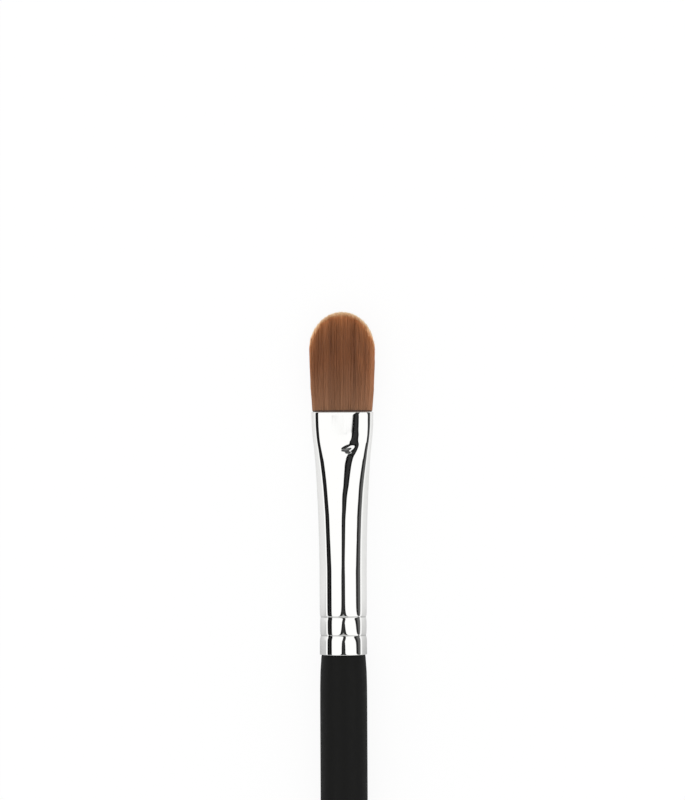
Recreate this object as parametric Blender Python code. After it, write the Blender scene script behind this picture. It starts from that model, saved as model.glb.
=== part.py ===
"""Eye makeup brush, lying on its side.

A flat, round-ended tuft of tapered synthetic filaments stands in a plated metal tube, the ferrule.
The tube is round where two rolled grooves grip the wooden handle, and pressed flat at its mouth.
Behind the tuft lie its glued roots, the thread that binds them and a plug of epoxy.
The handle is turned wood under a black lacquer, and its tenon is glued into the tube.

Every piece is built about the brush's own axis. Z runs along it, with the ferrule's rim at Z = 0,
the tuft at +Z and the tail at -Z. Y is across the flat of the head and X through its thickness.
One empty then lays the whole brush down, with the tuft towards the world's +X. Units are metres.
"""

import math
import random

import bmesh
import bpy
from mathutils import Matrix, Vector

# Ferrule
FERRULE_LENGTH = 0.0340
FERRULE_DIAMETER = 0.0066
FERRULE_WALL = 0.00025
MOUTH_WIDTH = 0.0087
MOUTH_THICKNESS = 0.0033
MOUTH_CHAMFER = 0.00006
RIM_ROUND = 0.00016
FLARE_START = 0.0120
# Place along the flare, how far the tube has widened there, and how far the press has closed it
FLARE_SHARES = (
    (0.0, 0.0, 0.0),
    (0.16, 0.04, 0.02),
    (0.34, 0.14, 0.09),
    (0.54, 0.33, 0.25),
    (0.66, 0.48, 0.43),
    (0.74, 0.61, 0.66),
    (0.80, 0.75, 0.92),
    (0.84, 0.85, 1.0),
    (0.91, 0.97, 1.0),
    (1.0, 1.0, 1.0),
)
LAND_FLAT_FACETS = 3

# Rolled grooves, measured from the rim, and the slightly sunk band between them
GROOVE_STATIONS = (0.0027, 0.0053)
GROOVE_DEPTH = 0.00018
GROOVE_HALF_WIDTH = 0.00060
GROOVE_SHAPE_SHARES = ((-1.0, 0.0), (-0.45, 0.35), (0.0, 1.0), (0.45, 0.35), (1.0, 0.0))
BAND_SINK = 0.00012
BAND_CROWN_SHARE = 0.4

# Handle
HANDLE_LENGTH = 0.1219
HANDLE_DIAMETER = 0.0066
SWELL_LENGTH = 0.0070
SWELL_SHARES = ((0.0, 0.0), (0.08, 0.36), (0.34, 0.80), (0.65, 0.96), (1.0, 1.0))
BARREL_END = 0.0420
TAPER_SHARES = ((0.15, 0.04), (0.35, 0.18), (0.60, 0.46), (0.80, 0.72), (1.0, 1.0))
TAIL_DIAMETER = 0.0042
TAIL_ROUND_LENGTH = 0.0026
TAIL_ARC_STEPS = 5
LACQUER_THICKNESS = 0.00014
LACQUER_OVERLAP = 0.0011
TENON_LENGTH = 0.0140
TENON_CHAMFER = 0.0006
GLUE_THICKNESS = 0.00010
GLUE_END_SETBACK = 0.0010

# Tuft, with heights measured from the ferrule's mouth
TUFT_LENGTH = 0.0141
TUFT_WIDTH = 0.0093
BELLY_HEIGHT = 0.0048
BELLY_THICKNESS = 0.0032
TIP_THICKNESS = 0.0013
TIP_FACE_DROP = 0.0007
TIP_SCATTER = 0.00030
FILAMENT_RADIUS = 0.000098
FILAMENT_GAP = 0.000036
FILAMENT_BELLY_RADIUS = 0.000116
FILAMENT_SHOULDER_RADIUS = 0.000078
FILAMENT_SHOULDER_SHARE = 0.88
FILAMENT_SIDES = 3
HONEYCOMB_TURN = math.radians(12.0)
SCATTER_SEED = 7

# Glued roots, thread and plug
ROOT_RECESS = 0.0003
ROOT_EMBED = 0.0003
ROOT_SLICE_LENGTH = 0.0018
BUNDLE_SEAT_LENGTH = 0.0018
BUNDLE_SHOULDER = 0.0004
WAIST_MARGIN = 0.0004
THREAD_DIAMETER = 0.00028
THREAD_PITCH = 0.00080
THREAD_TURNS = 3
THREAD_POINTS_PER_TURN = 20
THREAD_SLACK = 0.00010
LEAST_THREAD_GAP = 0.0004
PLUG_LENGTH = 0.0042
MENISCUS_DEPTH = 0.0007
MENISCUS_SHARES = ((0.86, 0.45), (0.62, 0.80), (0.30, 0.96))

# Clearance between neighbours, and facets
SEAT_CLEARANCE = 0.00005
MERGE_DISTANCE = 0.000001
SECTION_FACETS = 32
SMOOTH_ANGLE = math.radians(35.0)
HALF_FACET = math.pi / SECTION_FACETS
CORNER_REACH = 1 / math.cos(HALF_FACET)

# Colours, as the photograph shows them
TUFT_COLOUR = (0.205, 0.085, 0.040, 1.0)
ROOT_COLOUR = (0.120, 0.052, 0.026, 1.0)
THREAD_COLOUR = (0.640, 0.590, 0.480, 1.0)
EPOXY_COLOUR = (0.520, 0.360, 0.130, 1.0)
PLATING_COLOUR = (0.830, 0.830, 0.820, 1.0)
WOOD_COLOUR = (0.560, 0.390, 0.220, 1.0)
LACQUER_COLOUR = (0.014, 0.014, 0.013, 1.0)


def clear_scene():
    for item in list(bpy.data.objects):
        bpy.data.objects.remove(item)


def material(name, colour, roughness, metallic=0.0):
    made = bpy.data.materials.new(name)
    made.use_nodes = True
    shader = made.node_tree.nodes["Principled BSDF"]
    shader.inputs["Base Color"].default_value = colour
    shader.inputs["Roughness"].default_value = roughness
    shader.inputs["Metallic"].default_value = metallic
    made.diffuse_color = colour
    return made


def lay_down_axis():
    """The empty that carries every piece. It turns the brush's Z to the world's X and rests it on Z = 0."""
    axis = bpy.data.objects.new("brush_axis", None)
    bpy.context.scene.collection.objects.link(axis)
    axis.rotation_euler = (0.0, math.pi / 2, 0.0)
    middle = (FERRULE_LENGTH + TUFT_LENGTH - HANDLE_LENGTH) / 2
    axis.location = (-middle, 0.0, max(HANDLE_DIAMETER, FERRULE_DIAMETER) / 2)
    return axis


def add_object(name, data, skin, axis):
    data.materials.append(skin)
    made = bpy.data.objects.new(name, data)
    bpy.context.scene.collection.objects.link(made)
    made.parent = axis
    return made


def mesh_from(bm, name):
    """Turns a closed bmesh into a smooth-shaded mesh whose faces point out."""
    bmesh.ops.remove_doubles(bm, verts=bm.verts, dist=MERGE_DISTANCE)
    bmesh.ops.recalc_face_normals(bm, faces=bm.faces)
    data = bpy.data.meshes.new(name)
    bm.to_mesh(data)
    bm.free()
    data.shade_smooth()
    data.set_sharp_from_angle(angle=SMOOTH_ANGLE)
    return data


def oval_ring(station, half_width, half_thickness, flat_facets=1):
    """Corners of one oval section, sized across its facets. On each broad face, flat_facets share a plane."""
    corners = []
    for facet in range(SECTION_FACETS):
        angle = (2 * facet + 1) * HALF_FACET
        through = half_thickness * math.cos(angle) / math.cos(flat_facets * HALF_FACET)
        through = max(-half_thickness, min(half_thickness, through))
        corners.append(Vector((through, half_width * CORNER_REACH * math.sin(angle), station)))
    return corners


def loft(rings, name, closed=False):
    """Skins a row of equal rings. A closed row joins its last ring to its first, an open one has two caps."""
    bm = bmesh.new()
    loops = [[bm.verts.new(corner) for corner in ring] for ring in rings]
    pairs = list(zip(loops, loops[1:]))
    if closed:
        pairs.append((loops[-1], loops[0]))
    for lower, upper in pairs:
        for here in range(SECTION_FACETS):
            there = (here + 1) % SECTION_FACETS
            bm.faces.new((lower[here], lower[there], upper[there], upper[here]))
    if not closed:
        bm.faces.new(loops[0])
        bm.faces.new(loops[-1])
    return mesh_from(bm, name)


def turned(profile, name, closed=False):
    """Spins a profile of (radius, station) points round the axis, its facets in line with the oval sections."""
    bm = bmesh.new()
    start = [bm.verts.new((radius * CORNER_REACH, 0.0, station)) for radius, station in profile]
    edges = [bm.edges.new(pair) for pair in zip(start, start[1:])]
    if closed:
        edges.append(bm.edges.new((start[-1], start[0])))
    bmesh.ops.rotate(bm, cent=Vector(), matrix=Matrix.Rotation(HALF_FACET, 3, "Z"), verts=bm.verts)
    bmesh.ops.spin(
        bm,
        geom=start + edges,
        cent=Vector(),
        axis=Vector((0.0, 0.0, 1.0)),
        angle=2 * math.pi,
        steps=SECTION_FACETS,
        use_merge=True,
    )
    return mesh_from(bm, name)


def rim_rows():
    """The rounded edge at the ferrule's rim, as (station, radius) rows."""
    radius = FERRULE_DIAMETER / 2
    inset = RIM_ROUND * (1 - math.sqrt(0.5))
    return [(0.0, radius - RIM_ROUND), (inset, radius - inset), (RIM_ROUND, radius)]


def crimp_rows():
    """The two rolled grooves and the band between them, as (station, radius) rows."""
    radius = FERRULE_DIAMETER / 2
    lower, upper = GROOVE_STATIONS
    rows = []
    for station, sink_before, sink_after in ((lower, 0.0, BAND_SINK), (upper, BAND_SINK, 0.0)):
        for offset_share, depth_share in GROOVE_SHAPE_SHARES:
            sink = sink_before + (sink_after - sink_before) * (1 + offset_share) / 2
            place = station + offset_share * GROOVE_HALF_WIDTH
            rows.append((place, radius - sink - depth_share * GROOVE_DEPTH))
    rows.append(((lower + upper) / 2, radius - BAND_SINK * BAND_CROWN_SHARE))
    return sorted(rows)


def tube_rows():
    """The ferrule's outside from rim to mouth: station, half width, half thickness, facets on a broad face."""
    radius = FERRULE_DIAMETER / 2
    rows = [(station, round_half, round_half, 1) for station, round_half in rim_rows() + crimp_rows()]
    for place_share, width_share, press_share in FLARE_SHARES:
        station = FLARE_START + (FERRULE_LENGTH - FLARE_START) * place_share
        half_width = radius + (MOUTH_WIDTH / 2 - radius) * width_share
        half_thickness = radius + (MOUTH_THICKNESS / 2 - radius) * press_share
        rows.append((station, half_width, half_thickness, LAND_FLAT_FACETS if press_share == 1.0 else 1))
    return rows


def tube_at(station):
    """The ferrule's outside at any station, read along its own facets."""
    rows = tube_rows()
    for low, high in zip(rows, rows[1:]):
        if low[0] <= station <= high[0]:
            share = (station - low[0]) / (high[0] - low[0])
            half_width = low[1] + (high[1] - low[1]) * share
            half_thickness = low[2] + (high[2] - low[2]) * share
            return half_width, half_thickness, min(low[3], high[3])
    raise ValueError("the station lies outside the ferrule")


def bore_at(station):
    """The bore's half width, half thickness and facets on a broad face. The rim's rounding is outside only."""
    half_width, half_thickness, flat_facets = tube_at(max(station, RIM_ROUND))
    return half_width - FERRULE_WALL, half_thickness - FERRULE_WALL, flat_facets


def bore_ring(station, inset=0.0):
    """A section of the bore, or of a piece that stands inset from its wall."""
    half_width, half_thickness, flat_facets = bore_at(station)
    return oval_ring(station, half_width - inset, half_thickness - inset, flat_facets)


def bore_stations(low, high):
    """The ferrule's own stations between two others, with those two at the ends."""
    return [low] + [row[0] for row in tube_rows() if low < row[0] < high] + [high]


def build_ferrule(skin, axis):
    """The plated tube: its outside up from the rim, a broken edge round the mouth, and the bore back down."""
    rows = tube_rows()
    outside = [oval_ring(*row) for row in rows[:-1]]
    station, half_width, half_thickness, flat_facets = rows[-1]
    outside.append(oval_ring(station - MOUTH_CHAMFER, half_width, half_thickness, flat_facets))
    broken_edge = (half_width - MOUTH_CHAMFER, half_thickness - MOUTH_CHAMFER, flat_facets)
    outside.append(oval_ring(station, *broken_edge))
    bore = [bore_ring(z) for z in reversed(bore_stations(0.0, FERRULE_LENGTH)) if z == 0.0 or z > RIM_ROUND]
    add_object("ferrule", loft(outside + bore, "ferrule", closed=True), skin, axis)


def handle_profile():
    """The lacquered handle's outline as (radius, station) points, from inside the rim to the tail's pole."""
    neck = bore_at(0.0)[0] - SEAT_CLEARANCE
    barrel = HANDLE_DIAMETER / 2
    tail = TAIL_DIAMETER / 2
    taper_end = HANDLE_LENGTH - TAIL_ROUND_LENGTH
    profile = [(neck, LACQUER_OVERLAP)]
    for length_share, growth_share in SWELL_SHARES:
        profile.append((neck + (barrel - neck) * growth_share, -length_share * SWELL_LENGTH))
    profile.append((barrel, -BARREL_END))
    for length_share, taper_share in TAPER_SHARES:
        station = BARREL_END + (taper_end - BARREL_END) * length_share
        profile.append((barrel + (tail - barrel) * taper_share, -station))
    for step in range(1, TAIL_ARC_STEPS):
        angle = step * math.pi / 2 / TAIL_ARC_STEPS
        profile.append((tail * math.cos(angle), -taper_end - TAIL_ROUND_LENGTH * math.sin(angle)))
    profile.append((0.0, -HANDLE_LENGTH))
    return profile


def sunk(profile, depth):
    """The same outline, that depth under its surface: its pole moves along the axis, the rest towards it."""
    shortening = (HANDLE_LENGTH - depth) / HANDLE_LENGTH
    under = []
    for radius, station in profile:
        under.append((max(radius - depth, 0.0), station * shortening if station < 0.0 else station))
    return under


def build_handle_lacquer(skin, axis):
    """A coat over the whole handle, open at the front, with its edge just inside the ferrule."""
    outside = handle_profile()
    inside = sunk(outside, LACQUER_THICKNESS)
    add_object("handle_lacquer", turned(list(reversed(inside)) + outside, "handle_lacquer"), skin, axis)


def tenon_start():
    return LACQUER_OVERLAP + 3 * SEAT_CLEARANCE


def build_handle_core(skin, axis):
    """The turned wood: its body under the lacquer, then the tenon with the grooves that the crimp pressed in."""
    inset = 2 * SEAT_CLEARANCE + GLUE_THICKNESS
    body = sunk(handle_profile(), LACQUER_THICKNESS + SEAT_CLEARANCE)
    body[0] = (body[0][0], LACQUER_OVERLAP + SEAT_CLEARANCE)
    stations = bore_stations(tenon_start(), TENON_LENGTH - TENON_CHAMFER)
    tenon = [(bore_at(z)[0] - inset, z) for z in stations]
    end = [(tenon[-1][0] - TENON_CHAMFER, TENON_LENGTH), (0.0, TENON_LENGTH)]
    add_object("handle_core", turned(list(reversed(body)) + tenon + end, "handle_core"), skin, axis)


def build_tenon_glue(skin, axis):
    """The film of glue between tenon and bore, from the lacquer's edge to just short of the tenon's end."""
    stations = bore_stations(tenon_start(), TENON_LENGTH - GLUE_END_SETBACK)
    outside = [(bore_at(z)[0] - SEAT_CLEARANCE, z) for z in stations]
    inside = [(radius - GLUE_THICKNESS, z) for radius, z in reversed(outside)]
    add_object("tenon_glue", turned(outside + inside, "tenon_glue", closed=True), skin, axis)


def filament_seats():
    """Places of the filaments in the mouth, packed like a honeycomb: across and through, from the axis."""
    inset = FERRULE_WALL + 2 * SEAT_CLEARANCE + FILAMENT_RADIUS
    widest = MOUTH_WIDTH / 2 - inset
    thickest = MOUTH_THICKNESS / 2 - inset
    pitch = 2 * FILAMENT_RADIUS + FILAMENT_GAP
    reach = math.ceil(2 * widest / pitch)
    seats = []
    for row in range(-reach, reach + 1):
        for column in range(-reach, reach + 1):
            along = (column + row / 2) * pitch
            beside = row * pitch * math.sin(math.pi / 3)
            across = along * math.cos(HONEYCOMB_TURN) - beside * math.sin(HONEYCOMB_TURN)
            through = along * math.sin(HONEYCOMB_TURN) + beside * math.cos(HONEYCOMB_TURN)
            if math.hypot(across / widest, through / thickest) <= 1:
                seats.append((across, through))
    return seats


def filament_tips(seats, chance):
    """Heights of the tips. They make a half-round end that falls away to the two faces, a little unevenly."""
    widest = max(across for across, through in seats)
    thickest = max(through for across, through in seats)
    dome = TUFT_WIDTH / 2
    tips = []
    for across, through in seats:
        rise = dome * math.sqrt(1 - (across / widest) ** 2)
        drop = TIP_FACE_DROP * (through / thickest) ** 2 + TIP_SCATTER * chance.random()
        tips.append(TUFT_LENGTH - dome + rise - drop)
    shortfall = TUFT_LENGTH - max(tips)
    return [tip + shortfall for tip in tips]


def spread_at(height, seats):
    """How many times wider and thicker than at the mouth the filaments stand at a height."""
    widest = max(across for across, through in seats)
    thickest = max(through for across, through in seats)
    belly_width = (TUFT_WIDTH / 2 - FILAMENT_BELLY_RADIUS) / widest
    belly_thickness = (BELLY_THICKNESS / 2 - FILAMENT_BELLY_RADIUS) / thickest
    if height <= BELLY_HEIGHT:
        share = height / BELLY_HEIGHT
        return 1 + (belly_width - 1) * share, 1 + (belly_thickness - 1) * share
    share = (height - BELLY_HEIGHT) / (TUFT_LENGTH - BELLY_HEIGHT)
    return belly_width, belly_thickness + (TIP_THICKNESS / 2 / thickest - belly_thickness) * share


def filament_levels(tip):
    """Heights and radii of one filament: it swells to the belly, thins to its shoulder and ends in a point."""
    return (
        (-ROOT_RECESS - ROOT_EMBED, FILAMENT_RADIUS),
        (BELLY_HEIGHT, FILAMENT_BELLY_RADIUS),
        (tip * FILAMENT_SHOULDER_SHARE, FILAMENT_SHOULDER_RADIUS),
        (tip, 0.0),
    )


def least_filament_gap(seats, tips):
    """Least clear distance between two filaments, at the bends of either of them."""
    least = math.inf
    for first in range(len(seats)):
        for second in range(first):
            for bend, _ in filament_levels(tips[first])[:-1] + filament_levels(tips[second])[:-1]:
                height = max(bend, 0.0)
                if height > min(tips[first], tips[second]):
                    continue
                wider, thicker = spread_at(height, seats)
                apart = math.hypot(
                    (seats[first][0] - seats[second][0]) * wider,
                    (seats[first][1] - seats[second][1]) * thicker,
                )
                radii = filament_radius_at(height, tips[first]) + filament_radius_at(height, tips[second])
                least = min(least, apart - radii)
    return least


def filament_radius_at(height, tip):
    levels = filament_levels(tip)
    for (low, low_radius), (high, high_radius) in zip(levels, levels[1:]):
        if height <= high:
            return low_radius + (high_radius - low_radius) * (height - low) / (high - low)
    return 0.0


def add_filament(bm, seat, levels, spreads, turn):
    """One tapered filament, three-sided, along its seat's own straight lines."""
    loops = []
    for (height, radius), (wider, thicker) in zip(levels, spreads):
        centre = Vector((seat[1] * thicker, seat[0] * wider, FERRULE_LENGTH + height))
        loop = []
        for side in range(FILAMENT_SIDES if radius else 1):
            angle = turn + side * 2 * math.pi / FILAMENT_SIDES
            loop.append(bm.verts.new(centre + radius * Vector((math.cos(angle), math.sin(angle), 0.0))))
        loops.append(loop)
    root, *middle, (point,) = loops
    bm.faces.new(reversed(root))
    for here in range(FILAMENT_SIDES):
        there = (here + 1) % FILAMENT_SIDES
        for lower, upper in zip([root] + middle, middle):
            bm.faces.new((lower[here], lower[there], upper[there], upper[here]))
        bm.faces.new((middle[-1][here], middle[-1][there], point))


def root_slice_top():
    return FERRULE_LENGTH - ROOT_RECESS


def root_slice_bottom():
    return root_slice_top() - ROOT_SLICE_LENGTH


def build_bristle_tuft(skin, axis):
    """The filaments, fused to the slice of glued root that they stand in."""
    stations = bore_stations(root_slice_bottom(), root_slice_top())
    root_slice = loft([bore_ring(z, SEAT_CLEARANCE) for z in stations], "bristle_tuft")
    tuft = add_object("bristle_tuft", root_slice, skin, axis)
    chance = random.Random(SCATTER_SEED)
    seats = filament_seats()
    tips = filament_tips(seats, chance)
    print(f"{len(seats)} filaments, least gap between two {least_filament_gap(seats, tips) * 1000:.3f} mm")
    bm = bmesh.new()
    for seat, tip in zip(seats, tips):
        levels = filament_levels(tip)
        spreads = [spread_at(height, seats) for height, radius in levels]
        add_filament(bm, seat, levels, spreads, 2 * math.pi * chance.random())
    filaments = add_object("filaments", mesh_from(bm, "filaments"), skin, axis)
    filaments.hide_render = True
    filaments.display_type = "WIRE"
    union = tuft.modifiers.new("filaments_in_root", "BOOLEAN")
    union.operation = "UNION"
    union.object = filaments


def bundle_top():
    return root_slice_bottom() - SEAT_CLEARANCE


def waist_top():
    return bundle_top() - BUNDLE_SEAT_LENGTH - BUNDLE_SHOULDER


def waist_bottom():
    return waist_top() - THREAD_TURNS * THREAD_PITCH - THREAD_DIAMETER - 2 * WAIST_MARGIN


def waist_sizes():
    """Half width and half thickness of the waist, which leave the thread room in the narrowest bore round it."""
    bores = [bore_at(z) for z in bore_stations(waist_bottom(), waist_top())]
    inset = THREAD_DIAMETER + SEAT_CLEARANCE + THREAD_SLACK
    return min(bore[0] for bore in bores) - inset, min(bore[1] for bore in bores) - inset


def build_root_bundle(skin, axis):
    """The filaments' roots behind the slice: they fill the bore, then draw in to the waist under the thread."""
    waist = [oval_ring(z, *waist_sizes()) for z in (waist_bottom(), waist_top())]
    seat_stations = bore_stations(bundle_top() - BUNDLE_SEAT_LENGTH, bundle_top())
    seat = [bore_ring(z, SEAT_CLEARANCE) for z in seat_stations]
    add_object("root_bundle", loft(waist + seat, "root_bundle"), skin, axis)


def thread_points():
    """The thread's line: a helix round the waist, clear of it by the seat clearance."""
    half_width, half_thickness = (size + THREAD_DIAMETER / 2 + SEAT_CLEARANCE for size in waist_sizes())
    start = waist_bottom() + WAIST_MARGIN + THREAD_DIAMETER / 2
    points = []
    for step in range(THREAD_TURNS * THREAD_POINTS_PER_TURN + 1):
        turns = step / THREAD_POINTS_PER_TURN
        angle = 2 * math.pi * turns
        points.append(
            Vector(
                (
                    half_thickness * CORNER_REACH * math.cos(angle),
                    half_width * CORNER_REACH * math.sin(angle),
                    start + THREAD_PITCH * turns,
                )
            )
        )
    return points


def least_thread_gap(points):
    """Least clear distance between stretches of the thread that lie at least half a turn apart."""
    apart = THREAD_POINTS_PER_TURN // 2
    pairs = ((points[a], points[b]) for a in range(len(points)) for b in range(a + apart, len(points)))
    return min((second - first).length for first, second in pairs) - THREAD_DIAMETER


def build_root_binding(skin, axis):
    """Waxed thread wound round the waist of the roots."""
    points = thread_points()
    gap = least_thread_gap(points)
    print(f"thread: least gap to itself {gap * 1000:.2f} mm, over {LEAST_THREAD_GAP * 1000:.2f} mm is wanted")
    line = bpy.data.curves.new("root_binding", "CURVE")
    line.dimensions = "3D"
    line.bevel_depth = THREAD_DIAMETER / 2
    line.bevel_resolution = 1
    line.use_fill_caps = True
    spline = line.splines.new("POLY")
    spline.points.add(len(points) - 1)
    for knot, point in zip(spline.points, points):
        knot.co = (*point, 1.0)
    add_object("root_binding", line, skin, axis)


def build_epoxy_plug(skin, axis):
    """The cast plug behind the roots. It takes the bore's oval, and a meniscus hollows its free face."""
    top = waist_bottom() - SEAT_CLEARANCE
    bottom = top - PLUG_LENGTH
    rings = [bore_ring(z, SEAT_CLEARANCE) for z in reversed(bore_stations(bottom, top))]
    half_width, half_thickness, _ = bore_at(bottom)
    for size_share, depth_share in MENISCUS_SHARES:
        station = bottom + MENISCUS_DEPTH * depth_share
        rings.append(oval_ring(station, half_width * size_share, half_thickness * size_share))
    add_object("epoxy_plug", loft(rings, "epoxy_plug"), skin, axis)


def main():
    clear_scene()
    axis = lay_down_axis()
    plating = material("bright_nickel_plating", PLATING_COLOUR, 0.06, 1.0)
    lacquer = material("matt_black_lacquer", LACQUER_COLOUR, 0.52)
    wood = material("turned_birch", WOOD_COLOUR, 0.70)
    epoxy = material("epoxy_resin", EPOXY_COLOUR, 0.25)
    filament = material("brown_synthetic_filament", TUFT_COLOUR, 0.45)
    glued_root = material("glued_filament_root", ROOT_COLOUR, 0.40)
    thread = material("waxed_thread", THREAD_COLOUR, 0.80)
    build_ferrule(plating, axis)
    build_handle_lacquer(lacquer, axis)
    build_handle_core(wood, axis)
    build_tenon_glue(epoxy, axis)
    build_bristle_tuft(filament, axis)
    build_root_bundle(glued_root, axis)
    build_root_binding(thread, axis)
    build_epoxy_plug(epoxy, axis)


main()
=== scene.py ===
"""The looks of an eye makeup brush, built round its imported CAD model.

The brush lies along X with its tuft towards +X, its broad faces up and down, on a floor at Z = 0.
The tuft, the ferrule and the handle's lacquer are built here at full detail, in the place of their
CAD nodes. The pieces inside the ferrule keep their CAD shapes and get finishes of their own.
Lengths are metres. A station is a distance along the brush from the ferrule's rim at the handle.
"""

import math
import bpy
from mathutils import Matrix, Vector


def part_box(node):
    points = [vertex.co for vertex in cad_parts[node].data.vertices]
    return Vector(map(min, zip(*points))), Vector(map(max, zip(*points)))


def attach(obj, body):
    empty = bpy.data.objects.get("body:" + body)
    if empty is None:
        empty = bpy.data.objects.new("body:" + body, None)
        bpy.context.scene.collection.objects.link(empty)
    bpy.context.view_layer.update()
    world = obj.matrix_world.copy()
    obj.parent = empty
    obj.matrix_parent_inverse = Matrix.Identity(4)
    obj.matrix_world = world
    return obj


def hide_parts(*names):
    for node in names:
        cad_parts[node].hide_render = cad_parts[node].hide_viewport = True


bl_info = {
    "name": "Eye makeup brush",
    "version": (1, 0, 0),
    "blender": (4, 5, 0),
    "location": "3D View > Sidebar > Brush",
    "description": "Builds the tuft, ferrule and handle of an eye makeup brush round its CAD frame",
    "category": "Object",
}

import bmesh
import bpy
import numpy as np
from bpy.props import FloatProperty, FloatVectorProperty, IntProperty, PointerProperty
from mathutils import Matrix, Vector

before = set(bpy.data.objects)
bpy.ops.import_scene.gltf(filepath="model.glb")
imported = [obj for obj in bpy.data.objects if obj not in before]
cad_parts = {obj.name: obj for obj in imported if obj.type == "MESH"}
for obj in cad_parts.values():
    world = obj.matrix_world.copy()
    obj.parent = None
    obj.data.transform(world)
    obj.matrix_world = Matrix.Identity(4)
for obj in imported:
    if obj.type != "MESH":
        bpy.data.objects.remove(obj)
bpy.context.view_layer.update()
FERRULE_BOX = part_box("ferrule")
HANDLE_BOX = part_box("handle_lacquer")
TUFT_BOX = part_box("bristle_tuft")
RIM_X = FERRULE_BOX[0].x
MOUTH_X = FERRULE_BOX[1].x
TUBE_LENGTH = MOUTH_X - RIM_X
TUFT_HEIGHT = TUFT_BOX[1].x - MOUTH_X
AXIS_Z = (HANDLE_BOX[0].z + HANDLE_BOX[1].z) / 2
WHITE = (1.0, 1.0, 1.0, 1.0)

# Along the ferrule's flare: the share of its widening, and of its pressing
WIDENING_SHARES = (
    (0.0, 0.0), (0.16, 0.04), (0.34, 0.14), (0.50, 0.29), (0.60, 0.40), (0.68, 0.51),
    (0.74, 0.61), (0.795, 0.74), (0.84, 0.85), (0.91, 0.96), (1.0, 1.0),
)
PRESSING_SHARES = (
    (0.0, 0.0), (0.16, 0.033), (0.34, 0.074), (0.50, 0.21), (0.60, 0.43),
    (0.68, 0.62), (0.74, 0.80), (0.795, 0.975), (0.84, 1.0),
)
# How far the broad faces have turned from an oval's crown into a flat, along the flare
FLATNESS_SHARES = (
    (0.0, 0.0), (0.20, 0.127), (0.34, 0.152), (0.50, 0.279), (0.60, 0.307),
    (0.70, 0.357), (0.79, 1.0), (0.90, 1.0), (1.0, 1.06),
)
# Past this share of the flare the pressing has the tight bend of its crease
CREASE_SHARE = 0.66
# The handle's swelling behind the ferrule, and its taper to the tail
SWELL_SHARES = ((0.0, 0.0), (0.03, 0.30), (0.10, 0.42), (0.34, 0.80), (0.65, 0.96), (1.0, 1.0))
TAPER_SHARES = ((0.0, 0.0), (0.15, 0.04), (0.35, 0.18), (0.60, 0.46), (0.80, 0.72), (1.0, 1.0))
# The tuft's half width and half thickness over its height, as shares of the widest and thickest
TUFT_WIDTH_SHARES = (
    (-0.04, 0.865), (-0.004, 0.872), (0.010, 0.922), (0.05, 0.933),
    (0.14, 0.950), (0.33, 0.978), (0.60, 1.0), (1.0, 0.985),
)
TUFT_DEPTH_SHARES = (
    (-0.04, 0.78), (-0.004, 0.79), (0.010, 0.82), (0.03, 0.86), (0.12, 0.95),
    (0.22, 1.0), (0.36, 1.0), (0.70, 0.76), (1.0, 0.40),
)
# Reach to either side over which the corners of those three pairs of outlines are rounded
SWELL_REACH_SHARE = 0.02
TAPER_REACH_SHARE = 0.12
TUFT_REACH_SHARE = 0.006
# Stations at which the spacing of the ferrule's sections changes, and the spacing before and after
FERRULE_ENDS = (0.0018, 0.0063, 0.0270, 0.0314)
FERRULE_STEPS = (0.00020, 0.00006, 0.00024, 0.00008, 0.00020)
# How far behind the rim the handle's sections stand close, and their spacing there and further on
HANDLE_RIM_RUN = 0.0015
HANDLE_STEPS = (0.00006, 0.0003, 0.0012)
# Points in one section of the ferrule, the handle and the root slice
FERRULE_SIDES = 256
HANDLE_SIDES = 128
SLICE_SIDES = 96
# Sections of the root slice and of the handle's rounded tail
SLICE_ROWS = 7
TAIL_ROWS = 15
# The inner faces of the ferrule and the handle have a section for every so many outside
FERRULE_STRIDE = 4
HANDLE_STRIDE = 3
# Over how many places a softened corner is averaged
SOFT_PLACES = 15

# One filament: place along it past the mouth, share of its thickness, how far its own shift moves its
# colours there
FILAMENT_SHARES = (
    (-0.045, 0.9, 0.0), (-0.004, 0.95, 0.0), (0.014, 1.0, 0.0), (0.36, 1.0, 0.0),
    (0.70, 0.95, 1.0), (0.955, 0.74, 0.4), (1.0, 0.0, 0.0),
)
FILAMENT_SIDES = 3
# The last ring of a filament never takes the colour of its tip
LAST_RING_SHARE = 0.985
# Difference in shade between the sides of one filament
SIDE_SHADE_SHARE = 0.012
# How unevenly the filaments stand, as shares of their pitch and of a clump, and how little of its
# wandering a filament does in the ferrule
SEAT_JITTER_SHARE = 0.35
CLUMP_JITTER_SHARE = 0.3
ROOT_WANDER_SHARE = 0.3
# How far the clumps draw the filaments together across the width and through the thickness, and with
# what power of the place along them
CLUMP_SHARES = (1.0, 0.5)
CLUMP_POWER = 3
# How rare the short filaments are: a power of chance, and at the edges a power of the place towards
# the edge and a power of chance
SCATTER_POWER = 1.6
EDGE_SCATTER_POWERS = (5, 2)
# Narrow and broad streaks over the tuft: how many across it and through it
STREAK_CELLS = (22, 5)
BROAD_CELLS = (9, 3)
# A filament's shade: shares of the narrow streaks, the broad ones and chance, and what is taken off.
# Then the rise towards the two edges, right at them, and from one edge to the other
SHADE_SHARES = (0.56, 0.44, 0.18, 0.10)
# The rises towards the edges and right at them are partly the filaments' own tone and partly painted rim
# light
EDGE_SHARES = (0.16, 0.34, -0.06)
# Powers of the place towards an edge in the first two rises, and in how early the tip colours start
EDGE_POWERS = (3, 9, 4)
# How early its tip colours start: shares of chance and of the streaks, and what is taken off
EARLY_SHARES = (0.6, 0.8, 0.7)
# A strand between these shades has the tuft's plain colour
BODY_SHARES = (0.45, 0.68)
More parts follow.
